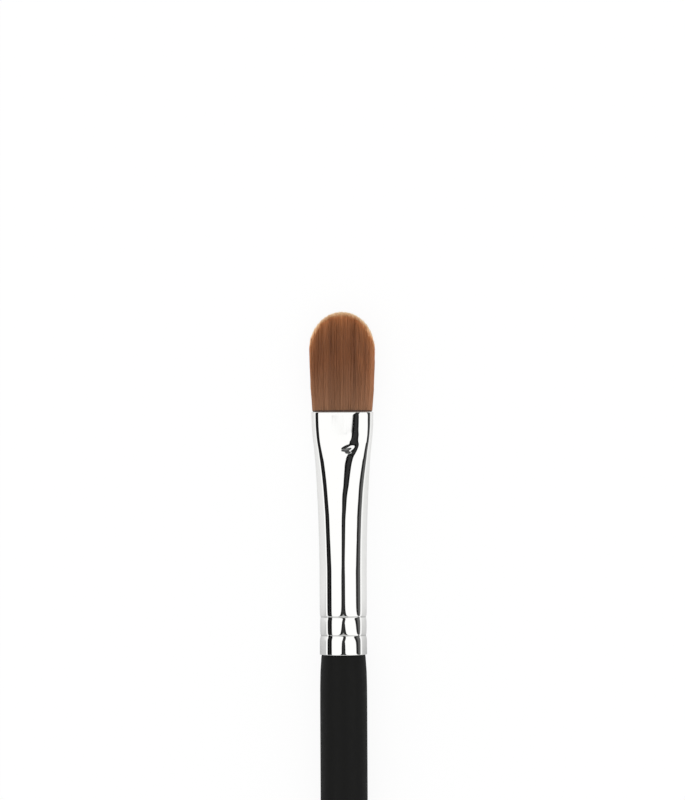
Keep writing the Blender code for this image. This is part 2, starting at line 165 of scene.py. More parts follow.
# One filament's colour: place along it, and the share of the way to the root's colour, to that of the
# dark band at the mouth, partly glue and partly painted shade, to the glow's and then to the tip's
ROOT_SHARES = ((0.0, 0.65), (0.55, 0.0))
GLUE_AND_SHADE_SHARES = ((0.0, 1.0), (0.009, 0.85), (0.018, 0.0))
GLOW_SHARES = ((0.70, 0.0), (0.84, 0.12), (0.90, 0.26), (0.94, 0.46), (0.965, 0.72), (0.985, 1.0))
TIP_SHARES = ((0.968, 0.0), (0.983, 0.25), (0.993, 0.62), (1.0, 1.0))
# Seed of the tuft's random draws
TUFT_SEED = 11

# Hollows of the small dent, and the metal that it raised: how far beside the ferrule's middle, how far
# ahead of the dent's station, half width, half length, share of its depth, turn in degrees
DIMPLE_HOLLOWS = (
    (-0.00071, 0.0, 0.00060, 0.00022, 1.0, -16.0),
    (-0.00173, 0.00038, 0.00124, 0.00094, 0.88, -49.0),
    (-0.00134, 0.00117, 0.00043, 0.00059, -0.48, 14.0),
    (-0.00093, -0.00084, 0.00040, 0.00025, -0.63, 0.0),
)
# Painted shade in a groove: place across it in half widths of its line, share of the plating's shine
GROOVE_SHADE_SHARES = ((-1.0, 1.0), (-0.35, 0.0), (0.35, 0.0), (1.0, 1.0))

# Uneven finishes: size of the marks, how many times longer they are along the brush, the roughness of
# the smoothest and the roughest of them as shares of the plain one, depth
PLATING_MARKS = (0.0004, 12.0, 0.7, 1.5, 0.0000002)
LACQUER_MARKS = (0.0005, 2.0, 0.9, 1.15, 0.0000025)
RESIN_MARKS = (0.0012, 1.0, 0.7, 1.6, 0.00001)
RESIN_ROUGHNESS = 0.2
# Noise past these two values counts as the smoothest and the roughest
NOISE_ENDS = (0.3, 0.7)
# Fibres: width, length, roughness, depth
BIRCH_FIBRES = (0.0005, 0.02, 0.65, 0.00003)
BUNDLE_FIBRES = (0.0001, 0.004, 0.4, 0.00002)
SLICE_FIBRES = (0.0001, 0.002, 0.4, 0.00001)
# Brightness of the fibres in set glue, the clouds in resin and the painted shade in the hollows of a
# thread's twist, as shares of their piece's colour
FIBRE_SHARE = 1.6
CLOUD_SHARE = 0.6
HOLLOW_SHADE_SHARE = 0.62
THREAD_DEPTH = 0.00002

# The darker gaps in the tent of white cards round the brush, which only mirrors see. Each edge is an
# angle from the camera in degrees, and how that angle grows towards the tuft and towards the handle.
# Then come the softness of the edges and the brightness in the gap
GAPS = (
    ((-85.0, 0.0, 0.0), (-59.0, 0.0, 0.0), 1.0, 0.001),
    ((-77.0, 0.0, 0.0), (-66.5, 0.0, 0.0), 2.0, 0.017),
    ((-6.9, 14.0, -45.0), (7.3, 14.0, 45.0), 0.5, 0.002),
    ((-3.0, 14.0, -45.0), (3.6, 14.0, 45.0), 1.5, 0.03),
    ((9.2, 0.0, -60.0), (-8.8, 0.0, 60.0), 2.0, 0.40),
    ((62.7, -14.0, 60.0), (90.1, 0.0, 0.0), 1.0, 0.012),
    ((76.0, -14.0, 45.0), (90.1, 0.0, 0.0), 5.0, 0.12),
)
# The tent's ends: share of the way from the handle's end to the tuft's end, brightness
END_SHARES = (
    (0.0, 0.75), (0.10, 1.0), (0.16, 0.6), (0.24, 0.6), (0.27, 1.0),
    (0.745, 1.0), (0.76, 0.06), (0.83, 0.10), (0.90, 0.30), (1.0, 0.60),
)
# How far along the brush a direction points where the ends begin, and where only they are seen
END_REACH_SHARES = (0.46, 0.50)


def setting(kind, **common):
    """A maker of settings of one kind, each from its name, description and default."""

    def made(name, description, default):
        return kind(name=name, description=description, default=default, **common)

    return made


length = setting(FloatProperty, min=0.0, unit="LENGTH", precision=5)
angle = setting(FloatProperty, subtype="ANGLE")
share = setting(FloatProperty, min=0.0, max=1.0, subtype="FACTOR")
number = setting(FloatProperty, min=0.0)
quantity = setting(IntProperty, min=1)
colour = setting(FloatVectorProperty, size=3, min=0.0, max=1.0, subtype="COLOR")


class FerruleSettings(bpy.types.PropertyGroup):
    """Sizes and finish of the metal tube"""

    diameter: length("Diameter", "Across the round end", 0.0066)
    mouth_thickness: length("Mouth thickness", "Across the pressed flats", 0.0033)
    flat_share: share("Flat share", "Share of the pressed width that is truly flat", 0.293)
    crown_power: number("Crown power", "How late the pressed section curves away from its flat", 2.905)
    crown_root: number("Crown root", "How full the pressed section stays towards its edges", 1.716)
    wall: length("Wall", "Thickness of the metal", 0.00025)
    flare_start: length("Flare start", "Station at which the tube stops being round", 0.0120)
    crease_round: length("Crease round", "Half length of the bend where the press stopped", 0.0005)
    rim_round: length("Rim round", "Rounding of the edge at the handle", 0.00010)
    mouth_round: length("Mouth round", "How far the edge at the tuft is rounded in", 0.00024)
    mouth_run: length("Mouth run", "Length of that rounding along the tube", 0.00020)
    groove_first: length("First groove", "Station of the groove nearer the handle", 0.0027)
    groove_second: length("Second groove", "Station of the groove nearer the tuft", 0.0053)
    groove_depth: length("Groove depth", "Depth of the fine line at the bottom of a groove", 0.00003)
    groove_width: length("Groove width", "Half width of that line at a third of its depth", 0.00012)
    groove_ease: length("Groove ease", "The same towards the handle, where its wall is gentler", 0.00030)
    shoulder_depth: length("Shoulder depth", "How far the tube draws in towards a groove", 0.00007)
    shoulder_run: length("Shoulder run", "Distance over which most of that happens", 0.00045)
    band_sink: length("Band sink", "Depth of the band between the grooves", 0.00004)
    dimple_station: length("Dimple station", "Station of the small dent in the upper flat", 0.02889)
    dimple_depth: length("Dimple depth", "Depth of that dent", 0.000065)
    plating: colour("Plating", "Colour of the bright nickel plating", (0.93, 0.93, 0.915))
    # Colour of the plating in a groove: painted shade
    residue: colour("Residue", "Colour of the dulled metal in a groove", (0.70, 0.70, 0.685))
    roughness: share("Roughness", "Roughness of the plating", 0.034)


class HandleSettings(bpy.types.PropertyGroup):
    """Sizes and finish of the lacquered handle"""

    neck_diameter: length("Neck", "Diameter inside the ferrule's rim", 0.0060)
    swell_length: length("Swell length", "Until the handle is at its full thickness", 0.0070)
    barrel_end: length("Barrel end", "From the ferrule to the start of the taper", 0.0420)
    tail_diameter: length("Tail", "Diameter where the tail's rounding starts", 0.0042)
    tail_round: length("Tail round", "Length of the rounded tail", 0.0026)
    overlap: length("Overlap", "How far the lacquer runs into the ferrule", 0.0011)
    coat: length("Coat", "Thickness of the lacquer", 0.00014)
    lacquer: colour("Lacquer", "Colour of the matt lacquer", (0.0072, 0.0072, 0.0068))
    roughness: share("Roughness", "Roughness of the lacquer", 0.52)


class TuftSettings(bpy.types.PropertyGroup):
    """Filling, form and colours of the tuft"""

    filaments: quantity("Filaments", "How many filaments stand in the mouth", 5800)
    filament_diameter: length("Filament", "Diameter of one filament", 0.000069)
    width: length("Width", "Width of the tuft at its widest", 0.00924)
    dome: length("Dome", "Height of the half-round end", 0.0050)
    thickness: length("Thickness", "Thickness of the tuft at its belly", 0.0033)
    tip_gap: length("Tip gap", "From the longest tip to the top of its box", 0.00004)
    face_drop: length("Face drop", "How much lower the tips of the two faces are", 0.0003)
    scatter: length("Scatter", "Unevenness of the tips", 0.00030)
    edge_scatter: length("Edge scatter", "How much shorter some filaments at the edges are", 0.0014)
    clump: length("Clump", "Size of the small clumps that the tips gather in", 0.00050)
    clumping: share("Clumping", "How far the tips draw together in their clumps", 0.18)
    wander: length("Wander", "How far a filament strays from its line", 0.00005)
    slice: length("Root slice", "Length of the glued roots below the filaments", 0.0018)
    recess: length("Root recess", "Depth of the glue line behind the mouth", 0.0003)
    root_gap: length("Root gap", "Gap between the glued roots and the bore", 0.00005)
    crowding: share("Crowding", "How far the filaments crowd towards the two edges", 0.15)
    tone_shift: share("Tone shift", "How early or late its tip colours start", 0.10)
    # Painted rim light: tip colours start earlier at the edges, which lightens the flanks
    edge_tone: share("Edge tone", "How much earlier they start at the edges", 0.13)
    # Dark band where the filaments leave the mouth: partly glue crept up them, partly painted shade
    wet_root: colour("Wet root", "Colour where glue has crept up a filament", (0.073, 0.068, 0.064))
    root: colour("Root", "Colour of a filament near the ferrule", (0.375, 0.197, 0.110))
    body: colour("Body", "Colour of a filament along its length", (0.285, 0.105, 0.040))
    shadow: colour("Dark strand", "Colour of the darkest filaments", (0.118, 0.041, 0.016))
    flush: colour("Warm strand", "Colour of the reddest filaments", (0.46, 0.185, 0.078))
    glow: colour("Glow", "Colour of a filament where it starts to thin", (0.66, 0.24, 0.080))
    tip: colour("Tip", "Colour of the thin tips", (1.0, 0.76, 0.45))
    # Painted glow: the thin tips give off light of their own, standing for light that comes through them
    tip_light: share("Tip light", "Light that comes through the thin tips", 0.32)


class InsideSettings(bpy.types.PropertyGroup):
    """Colours of the pieces inside the ferrule and under the lacquer"""

    wood: colour("Wood", "Turned birch", (0.56, 0.39, 0.22))
    wood_grain: colour("Grain", "Darker year rings of the birch", (0.36, 0.22, 0.11))
    epoxy: colour("Epoxy", "Cast and set resin", (0.52, 0.36, 0.13))
    glued_root: colour("Glued roots", "Filament roots under glue", (0.12, 0.052, 0.026))
    thread: colour("Thread", "Waxed binding thread", (0.64, 0.59, 0.48))


class StudioSettings(bpy.types.PropertyGroup):
    """Floor, light and camera"""

    floor_size: length("Floor", "Side of the square floor", 4.0)
    floor: colour("Floor colour", "Colour of the pale floor", (0.96, 0.96, 0.96))
    floor_glow: share("Floor glow", "Share of its white that the camera sees unshaded", 0.90)
    mirror_glow: share("Mirror glow", "Share of it that a mirror sees unshaded", 0.50)
    mirror_level: share("Mirror level", "How bright a mirror sees that part of the floor", 0.70)
    # Painted shade on the floor beside the handle, which only mirrors see, standing for the handle's shade
    handle_shade: share("Handle shade", "Share of that brightness left beside the handle", 0.26)
    shade_run: length("Shade run", "Reach of the handle's shade along the ferrule", 0.0078)
    card_start: length("Card start", "From the brush to the white card on the floor", 0.0160)
    card_edge: length("Card edge", "Width over which that card grows white", 0.0035)
    card_level: share("Card level", "How bright a mirror sees that card", 1.0)
    dark_start: length("Dark start", "From the brush to the dark cloth beyond that card", 0.042)
    dark_edge: length("Dark edge", "Width over which that cloth grows dark", 0.009)
    dark_level: share("Dark level", "How bright a mirror sees that cloth", 0.12)
    brightness: number("Brightness", "Strength of the white cards", 1.08)
    lens: number("Lens", "Focal length of the camera in millimetres", 200.0)
    distance: length("Distance", "From the camera to the brush's axis", 0.6222)
    roll: angle("Roll", "How far the camera stands off the flat's middle", math.radians(4.0))
    twist: angle("Twist", "Turn of the picture about its middle", math.radians(-0.27))
    aim_station: length("Aim", "Station of the brush at the middle of the picture", 0.03561)
    aim_offset: length("Aim offset", "From the brush's axis to the picture's middle", 0.00003)


def softened(places, table, reach=0.0):
    """Values of a table of (place, value) pairs, its corners rounded over the reach to either side."""
    knots = np.array(table)
    if reach == 0.0:
        return np.interp(places, knots[:, 0], knots[:, 1])
    offsets = np.linspace(-1.0, 1.0, SOFT_PLACES)
    weights = 1.0 + np.cos(np.pi * offsets)
    spread = np.asarray(places)[..., None] + reach * offsets
    return np.interp(spread, knots[:, 0], knots[:, 1]) @ weights / weights.sum()


def spaced(start, ends, steps):
    """Even places from a start to each end in turn, at most its step apart, without the last end."""
    parts = []
    for end, step in zip(ends, steps):
        parts.append(np.linspace(start, end, max(1, math.ceil((end - start) / step)), endpoint=False))
        start = end
    return np.concatenate(parts)


def closed_mesh(name, rows, wrap):
    """A mesh skinned over rows of points. A row drawn together to one point becomes a pole."""
    count, around = len(rows), len(rows[0])
    index = np.arange(count * around).reshape(count, around)
    if wrap:
        index = np.vstack([index, index[:1]])
    right = np.roll(index, -1, axis=1)
    faces = np.stack([index[:-1], right[:-1], right[1:], index[1:]], axis=-1).reshape(-1, 4)
    bm = bmesh.new()
    points = [bm.verts.new(point) for point in np.asarray(rows).reshape(-1, 3)]
    for corners in faces:
        bm.faces.new([points[corner] for corner in corners])
    bmesh.ops.remove_doubles(bm, verts=bm.verts, dist=1e-8)
    bmesh.ops.recalc_face_normals(bm, faces=bm.faces)
    data = bpy.data.meshes.new(name)
    bm.to_mesh(data)
    bm.free()
    data.shade_smooth()
    return data


def add_object(name, data):
    """An object in the scene."""
    made = bpy.data.objects.new(name, data)
    bpy.context.scene.collection.objects.link(made)
    return made


def place(data, skin, node, slot):
    """Puts a piece on the brush's only body, in the place of its CAD node."""
    data.materials.append(skin)
    piece = add_object(data.name, data)
    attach(piece, "root")
    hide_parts(node)


def add_node(tree, kind, links=(), **settings):
    """The outputs of a new node with its settings. Links are (input, source socket or value) pairs."""
    node = tree.nodes.new(kind)
    for name, value in settings.items():
        setattr(node, name, value)
    for socket, source in links:
        if isinstance(source, bpy.types.NodeSocket):
            tree.links.new(source, node.inputs[socket])
        else:
            node.inputs[socket].default_value = source
    return node.outputs


def calculated(tree, operation, *values, **settings):
    """The result of a sum on sockets or values."""
    return add_node(tree, "ShaderNodeMath", enumerate(values), operation=operation, **settings)[0]


def ranged(tree, value, low, high, low_result=0.0, high_result=1.0):
    """A value's place between two limits, as a place between two results. It stays level past both."""
    sources = enumerate((value, low, high, low_result, high_result))
    return add_node(tree, "ShaderNodeMapRange", sources)[0]


def mix_values(tree, factor, first, second):
    """A mix of two plain values."""
    return add_node(tree, "ShaderNodeMix", [(0, factor), (2, first), (3, second)])[0]


def mix_colours(tree, factor, first, second):
    """A mix of two colours, each a socket or a value."""
    return add_node(tree, "ShaderNodeMix", [(0, factor), (6, first), (7, second)], data_type="RGBA")[2]


def share_ramp(tree, place, shares):
    """A grey ramp over a place, from (place, share) pairs."""
    return colour_ramp(tree, place, [(stop, [part] * 3) for stop, part in shares])


def colour_ramp(tree, place, stops):
    """A colour ramp over a place, from (place, colour) pairs."""
    ramp = tree.nodes.new("ShaderNodeValToRGB")
    tree.links.new(place, ramp.inputs["Fac"])
    elements = ramp.color_ramp.elements
    while len(elements) < len(stops):
        elements.new(0.5)
    for element, (position, value) in zip(elements, stops):
        element.position = position
        element.color = opaque(value)
    return ramp.outputs["Color"]


def split(tree, vector):
    """The X, Y and Z of a vector."""
    return add_node(tree, "ShaderNodeSeparateXYZ", [("Vector", vector)])


def object_place(tree):
    """The point that is shaded, in its piece's own space."""
    return add_node(tree, "ShaderNodeTexCoord")["Object"]


def drawn_place(tree, along, across):
    """The point that is shaded, with its place along the brush and across it multiplied."""
    ratios = add_node(tree, "ShaderNodeCombineXYZ", enumerate((along, across, across)))[0]
    factors = enumerate((object_place(tree), ratios))
    return add_node(tree, "ShaderNodeVectorMath", factors, operation="MULTIPLY")[0]


def ray_kinds(tree):
    """1 for rays from the camera and 0 for others, and the same for rays from mirrors and glass."""
    path = add_node(tree, "ShaderNodeLightPath")
    mirrored = calculated(tree, "MAXIMUM", path["Is Glossy Ray"], path["Is Transmission Ray"])
    return path["Is Camera Ray"], mirrored


def opaque(tint, light_share=1.0):
    """The four values of a tint at a share of its brightness."""
    return (*(part * light_share for part in tint), 1.0)


def mottle(tree, given):
    """Uneven finish: noise of a size, spread along the brush, as a value between limits and a height."""
    drawn = drawn_place(tree, calculated(tree, "DIVIDE", 1.0, given["Stretch"]), 1.0)
    fineness = calculated(tree, "DIVIDE", 1.0, given["Size"])
    links = [("Vector", drawn), ("Scale", fineness), ("Detail", 3.0)]
    height = add_node(tree, "ShaderNodeTexNoise", links)["Fac"]
    return {"Value": ranged(tree, height, *NOISE_ENDS, given["Low"], given["High"]), "Height": height}


def grain(tree, given):
    """Fibres along the brush: long, thin noise, as a mix of two colours and a height."""
    along, across = (calculated(tree, "DIVIDE", 1.0, given[size]) for size in ("Length", "Width"))
    links = [("Vector", drawn_place(tree, along, across)), ("Scale", 1.0), ("Detail", 4.0)]
    height = add_node(tree, "ShaderNodeTexNoise", links)["Fac"]
    return {"Color": mix_colours(tree, height, given["Dark"], given["Light"]), "Height": height}


def card_edge(tree, given):
    """An edge of a card: 0 before an angle and 1 past it. It slants towards the tuft and the handle."""
    place = given["Place"]
    for side in ("Ahead", "Behind"):
        place = calculated(tree, "MULTIPLY_ADD", given[side], given[side + " slant"], place)
    past = calculated(tree, "SUBTRACT", given["Angle"], place)
    before = calculated(tree, "MULTIPLY", given["Softness"], -1.0)
    return {"Value": ranged(tree, past, before, given["Softness"])}


# Shader node groups: what fills them, their inputs and their outputs
GROUPS = {
    "Mottle": (mottle, ("Size", "Stretch", "Low", "High"), ("Value", "Height")),
    "Fibre grain": (grain, ("Width", "Length", "Light", "Dark"), ("Color", "Height")),
    "Card edge": (
        card_edge,
        ("Angle", "Ahead", "Behind", "Place", "Ahead slant", "Behind slant", "Softness"),
        ("Value",),
    ),
}
# Those of their sockets that hold a colour. The others hold a number
COLOUR_SOCKETS = ("Light", "Dark", "Color")


def add_group(tree, name, *values):
    """The outputs of a shader node group, given values or sockets. Its first use builds it."""
    if name not in bpy.data.node_groups:
        fill, inputs, outputs = GROUPS[name]
        group = bpy.data.node_groups.new(name, "ShaderNodeTree")
        for in_out, sockets in (("INPUT", inputs), ("OUTPUT", outputs)):
            for socket in sockets:
                kind = "NodeSocketColor" if socket in COLOUR_SOCKETS else "NodeSocketFloat"
                group.interface.new_socket(socket, in_out=in_out, socket_type=kind)
        results = fill(group, group.nodes.new("NodeGroupInput").outputs)
        add_node(group, "NodeGroupOutput", results.items())
    group = bpy.data.node_groups[name]
    return add_node(tree, "ShaderNodeGroup", enumerate(values), node_tree=group)


def new_material(name, **values):
    """A material whose Principled shader has the given values. Returns it with its tree and its shader."""
    made = bpy.data.materials.new(name)
    made.use_nodes = True
    tree = made.node_tree
    shader = tree.nodes["Principled BSDF"]
    for socket, value in values.items():
        shader.inputs[socket].default_value = value
    return made, tree, shader


def add_bump(tree, shader, height, depth):
    """Raises the surface by up to a depth where the height is high."""
    bump = add_node(tree, "ShaderNodeBump", [("Height", height), ("Distance", depth)])
    tree.links.new(bump["Normal"], shader.inputs["Normal"])


def add_marks(tree, shader, roughness, marks):
    """Feeds the shader's roughness and normal from the mottle group. Returns its height."""
    size, stretch, low_share, high_share, depth = marks
    made = add_group(tree, "Mottle", size, stretch, roughness * low_share, roughness * high_share)
    tree.links.new(made["Value"], shader.inputs["Roughness"])
    add_bump(tree, shader, made["Height"], depth)
    return made["Height"]


def plating_material(settings):
    """Bright nickel plating: faint polishing marks run along it, and its grooves are painted darker as
    shade.
    """
    made, tree, shader = new_material("bright nickel plating", Metallic=1.0)
    add_marks(tree, shader, settings.roughness, PLATING_MARKS)
    reach = settings.groove_first + settings.groove_second
    along = ranged(tree, split(tree, object_place(tree))["X"], RIM_X, RIM_X + reach)
    stops = []
    for station in (settings.groove_first, settings.groove_second):
        for offset, shine_share in GROOVE_SHADE_SHARES:
            stops.append(((station + offset * settings.groove_width) / reach, shine_share))
    # Painted shade: the plating's colour darkens across each groove's line
    bright = share_ramp(tree, along, stops)
    tint = mix_colours(tree, bright, opaque(settings.residue), opaque(settings.plating))
    tree.links.new(tint, shader.inputs["Base Color"])
    return made


def lacquer_material(settings):
    """Matt lacquer: near black, low in gloss, with the faint orange peel of a dipped and rubbed coat."""
    made, tree, shader = new_material(
        "matt black lacquer", **{"Base Color": opaque(settings.lacquer), "Specular IOR Level": 0.12}
    )
    add_marks(tree, shader, settings.roughness, LACQUER_MARKS)
    return made


def filament_material(settings):
    """Synthetic filament: colour changes from root to tip and strand to strand; painted glow at the tips.
    """
    made, tree, shader = new_material(
        "brown synthetic filament",
        **{"Roughness": 0.42, "Specular IOR Level": 0.35, "Emission Strength": settings.tip_light},
    )
    parts = split(tree, add_node(tree, "ShaderNodeUVMap", uv_map="OFBake")["UV"])
    strand, along = parts["X"], parts["Y"]
    body_low, body_high = ((shade, settings.body) for shade in BODY_SHARES)
    stops = ((0.0, settings.shadow), body_low, body_high, (1.0, settings.flush))
    whole = colour_ramp(tree, strand, stops)
    (bottom, most), (top, least) = ROOT_SHARES
    rooted = ranged(tree, along, bottom, top, most, least)
    # The second ramp is the dark band at the mouth: partly glue, partly painted shade
    ramps = [share_ramp(tree, along, shares) for shares in (GLUE_AND_SHADE_SHARES, GLOW_SHARES, TIP_SHARES)]
    tints = (settings.root, settings.wet_root, settings.glow, settings.tip)
    for reached, tint in zip((rooted, *ramps), tints):
        whole = mix_colours(tree, reached, whole, opaque(tint))
    tree.links.new(whole, shader.inputs["Base Color"])
    # Painted glow: the tips give off light in their own colour, as if lit from behind
    through = mix_colours(tree, ramps[-1], opaque(settings.tip, 0.0), opaque(settings.tip))
    tree.links.new(through, shader.inputs["Emission Color"])
    return made


def fibre_material(name, light, dark, fibres):
    """A material of fibres that run along the brush, such as wood or glued roots."""
    width, run, roughness, depth = fibres
    made, tree, shader = new_material(name, Roughness=roughness)
    run_along = add_group(tree, "Fibre grain", width, run, light, dark)
    tree.links.new(run_along["Color"], shader.inputs["Base Color"])
    add_bump(tree, shader, run_along["Height"], depth)
    return made


def root_material(name, tint, fibres):
    """Filament roots in set glue."""
    return fibre_material(name, opaque(tint, FIBRE_SHARE), opaque(tint), fibres)


def resin_material(name, tint):
    """Set resin: glossy, with a cloudy colour and a slightly uneven surface."""
    made, tree, shader = new_material(name, **{"Coat Weight": 0.3})
    height = add_marks(tree, shader, RESIN_ROUGHNESS, RESIN_MARKS)
    cloud = mix_colours(tree, height, opaque(tint, CLOUD_SHARE), opaque(tint))
    tree.links.new(cloud, shader.inputs["Base Color"])
    return made


def thread_material(tint):
    """Waxed thread: its twist shows as slanting ridges, with painted shade in their hollows."""
    made, tree, shader = new_material("waxed thread", Roughness=0.6)
    links = [("Vector", object_place(tree)), ("Scale", 1800.0), ("Distortion", 1.5), ("Detail", 2.0)]
    wave = add_node(tree, "ShaderNodeTexWave", links, bands_direction="DIAGONAL")["Fac"]
    # Painted shade: the hollows of the twist are darker
    shade = mix_colours(tree, wave, opaque(tint, HOLLOW_SHADE_SHARE), opaque(tint))
    tree.links.new(shade, shader.inputs["Base Color"])
    add_bump(tree, shader, wave, THREAD_DEPTH)
    return made


def oval_rows(stations, half_widths, half_depths, around, flatness=None, pressed=None):
    """Sections as rows of points. Pressed is the crown at full flatness, or None for a round section."""
    angles = np.linspace(0.0, 2 * np.pi, around, endpoint=False)
    crown = np.cos(angles)
    if pressed is not None:
        flat_share, power, root = pressed
        beyond = np.clip((np.abs(np.sin(angles)) - flat_share) / (1 - flat_share), 0.0, 1.0)
        flat = (1 - beyond**power) ** (1 / root) * np.sign(crown)
        crown = crown + flatness[:, None] * (flat - crown)
    rows = np.empty((len(stations), around, 3))
    rows[..., 0] = RIM_X + stations[:, None]
    rows[..., 1] = -half_widths[:, None] * np.sin(angles)
    rows[..., 2] = AXIS_Z + half_depths[:, None] * crown
    return rows


def arc_insets(run, depth, steps):
    """Places along a rounded edge and how far the surface is set in there."""
    angles = np.linspace(0.0, np.pi / 2, steps, endpoint=False)
    return run * (1 - np.cos(angles)), depth * (1 - np.sin(angles))


def groove_sink(settings, stations):
    """How far the rolled grooves and the band between them are set in."""
    width = settings.groove_width
    band = (
        (settings.groove_first - 2 * settings.groove_ease, 0.0),
        (settings.groove_first, 1.0),
        (settings.groove_second - width, 1.0),
        (settings.groove_second + width, 0.0),
    )
    sink = settings.band_sink * softened(stations, band)
    for station in (settings.groove_first, settings.groove_second):
        past = stations - station
        reach = np.where(past < 0.0, settings.groove_ease, width)
        sink += settings.groove_depth * np.exp(-((past / reach) ** 2))
        sink += settings.shoulder_depth * np.exp(-np.abs(past) / settings.shoulder_run)
    return sink


def tube_rows(settings, stations, insets, around):
    """Sections of the ferrule, set in from its outside."""
    radius = settings.diameter / 2
    mouth_width = (FERRULE_BOX[1].y - FERRULE_BOX[0].y) / 2
    flare = TUBE_LENGTH - settings.flare_start
    places = (stations - settings.flare_start) / flare
    reach = settings.crease_round / flare
    widening = softened(places, WIDENING_SHARES, 2 * reach)
    tight, gentle = (softened(places, PRESSING_SHARES, times * reach) for times in (1, 3))
    pressing = np.where(places > CREASE_SHARE, tight, gentle)
    flatness = softened(places, FLATNESS_SHARES, reach)
    sink = groove_sink(settings, stations)
    half_widths = radius + (mouth_width - radius) * widening - sink - insets
    half_depths = radius + (settings.mouth_thickness / 2 - radius) * pressing - sink - insets
    pressed = (settings.flat_share, settings.crown_power, settings.crown_root)
    return oval_rows(stations, half_widths, half_depths, around, flatness, pressed)


def dent(rows, settings):
    """Presses the small dent into the upper flat, with the metal that it raised round it."""
    sink = np.zeros(rows.shape[:2])
    for across, ahead, reach, run, depth_share, turn in DIMPLE_HOLLOWS:
        beside = rows[..., 1] - across
        along = rows[..., 0] - RIM_X - settings.dimple_station - ahead
        sine, cosine = math.sin(math.radians(turn)), math.cos(math.radians(turn))
        sideways = (beside * cosine + along * sine) / reach
        lengthways = (along * cosine - beside * sine) / run
        sink += depth_share * np.exp(-(sideways**2 + lengthways**2))
    rows[..., 2] -= np.where(rows[..., 2] > AXIS_Z, settings.dimple_depth * sink, 0.0)
    return rows


class BRUSH_OT_ferrule(bpy.types.Operator):
    """Builds the plated ferrule with its grooves, flare, pressed mouth and dimple"""

    bl_idname = "brush.ferrule"
    bl_label = "Ferrule"

    def execute(self, context):
        settings = context.scene.brush_ferrule
        rim_places, rim_insets = arc_insets(settings.rim_round, settings.rim_round, steps=6)
        mouth_places, mouth_insets = arc_insets(settings.mouth_run, settings.mouth_round, steps=8)
        ends = (*FERRULE_ENDS, TUBE_LENGTH - settings.mouth_run)
        between = spaced(settings.rim_round, ends, FERRULE_STEPS)
        stations = np.concatenate([rim_places, between, TUBE_LENGTH - mouth_places[::-1]])
        insets = np.concatenate([rim_insets, np.zeros(len(between)), mouth_insets[::-1]])
        outside = dent(tube_rows(settings, stations, insets, FERRULE_SIDES), settings)
        bore = tube_rows(settings, stations[::-FERRULE_STRIDE], settings.wall, FERRULE_SIDES)
        data = closed_mesh("crimped_ferrule", np.concatenate([outside, bore]), wrap=True)
        place(data, plating_material(settings), "ferrule", "plating")
        return {"FINISHED"}


def handle_profile(settings):
    """The lacquered outline: distances from the ferrule's rim towards the tail, and radii."""
    neck = settings.neck_diameter / 2
    barrel = (HANDLE_BOX[1].z - HANDLE_BOX[0].z) / 2
    tail = settings.tail_diameter / 2
    taper_end = RIM_X - HANDLE_BOX[0].x - settings.tail_round
    ends = (HANDLE_RIM_RUN, settings.swell_length, taper_end)
    places = np.concatenate([[-settings.overlap], spaced(0.0, ends, HANDLE_STEPS)])
    tapered = (places - settings.barrel_end) / (taper_end - settings.barrel_end)
    swelling = softened(places / settings.swell_length, SWELL_SHARES, SWELL_REACH_SHARE)
    tapering = softened(tapered, TAPER_SHARES, TAPER_REACH_SHARE)
    radii = neck + (barrel - neck) * swelling + (tail - barrel) * tapering
    angles = np.linspace(0.0, np.pi / 2, TAIL_ROWS)
    tail_places = taper_end + settings.tail_round * np.sin(angles)
    tail_radii = radii[-1] * np.cos(angles)
    tail_radii[-1] = 0.0
    return np.concatenate([places, tail_places]), np.concatenate([radii, tail_radii])


class BRUSH_OT_handle(bpy.types.Operator):
    """Builds the lacquer coat of the turned handle"""

    bl_idname = "brush.handle"
    bl_label = "Handle lacquer"

    def execute(self, context):
        settings = context.scene.brush_handle
        places, radii = handle_profile(settings)
        inside = slice(None, None, -HANDLE_STRIDE)
        shrink = 1 - settings.coat / places[-1]
        inner_places = np.where(places > 0.0, places * shrink, places)[inside]
        inner_radii = np.maximum(radii - settings.coat, 0.0)[inside]
        stations = -np.concatenate([inner_places[:-1], places[:1], places])
        sizes = np.concatenate([inner_radii[:-1], radii[:1] - settings.coat, radii])
        rows = oval_rows(stations, sizes, sizes, HANDLE_SIDES)
        data = closed_mesh("lacquered_handle", rows, wrap=False)
        place(data, lacquer_material(settings), "handle_lacquer", "lacquer")
        return {"FINISHED"}


def honeycomb(count):
    """About so many even places in the unit disc, and their pitch."""
    pitch = math.sqrt(math.pi / count * 2 / math.sqrt(3))
    reach = math.ceil(1 / pitch) + 1
    row, column = np.mgrid[-reach : reach + 1, -2 * reach : 2 * reach + 1]
    across, through = (column + row / 2) * pitch, row * pitch * math.sqrt(3) / 2
    places = np.stack([across, through], axis=-1).reshape(-1, 2)
    return places[np.hypot(*places.T) <= 1.0], pitch


def patches(places, cells, chance):
    """Smooth random values, one for each place, that change over about a cell's length."""
    grid = chance.random((cells[0] + 2, cells[1] + 2))
    at = (places * 0.5 + 0.5) * cells
    low = np.floor(at).astype(int)
    part = at - low
    part = part * part * (3 - 2 * part)
    (low_y, low_z), (part_y, part_z) = low.T, part.T
    lower, upper = (
        grid[low_y, row] * (1 - part_y) + grid[low_y + 1, row] * part_y for row in (low_z, low_z + 1)
    )
    return lower * (1 - part_z) + upper * part_z


def tuft_heights(settings, seats, chance):
    """Heights of the tips above the mouth: a half-round end that falls away to the two faces."""
    tall = TUFT_HEIGHT - settings.tip_gap
    rise = settings.dome * np.sqrt(1 - seats[:, 0] ** 2)
    uneven = settings.scatter * chance.random(len(seats)) ** SCATTER_POWER
    place_power, chance_power = EDGE_SCATTER_POWERS
    shorter = settings.edge_scatter * np.abs(seats[:, 0]) ** place_power
    shorter *= chance.random(len(seats)) ** chance_power
    return tall - settings.dome + rise - settings.face_drop * seats[:, 1] ** 2 - uneven - shorter


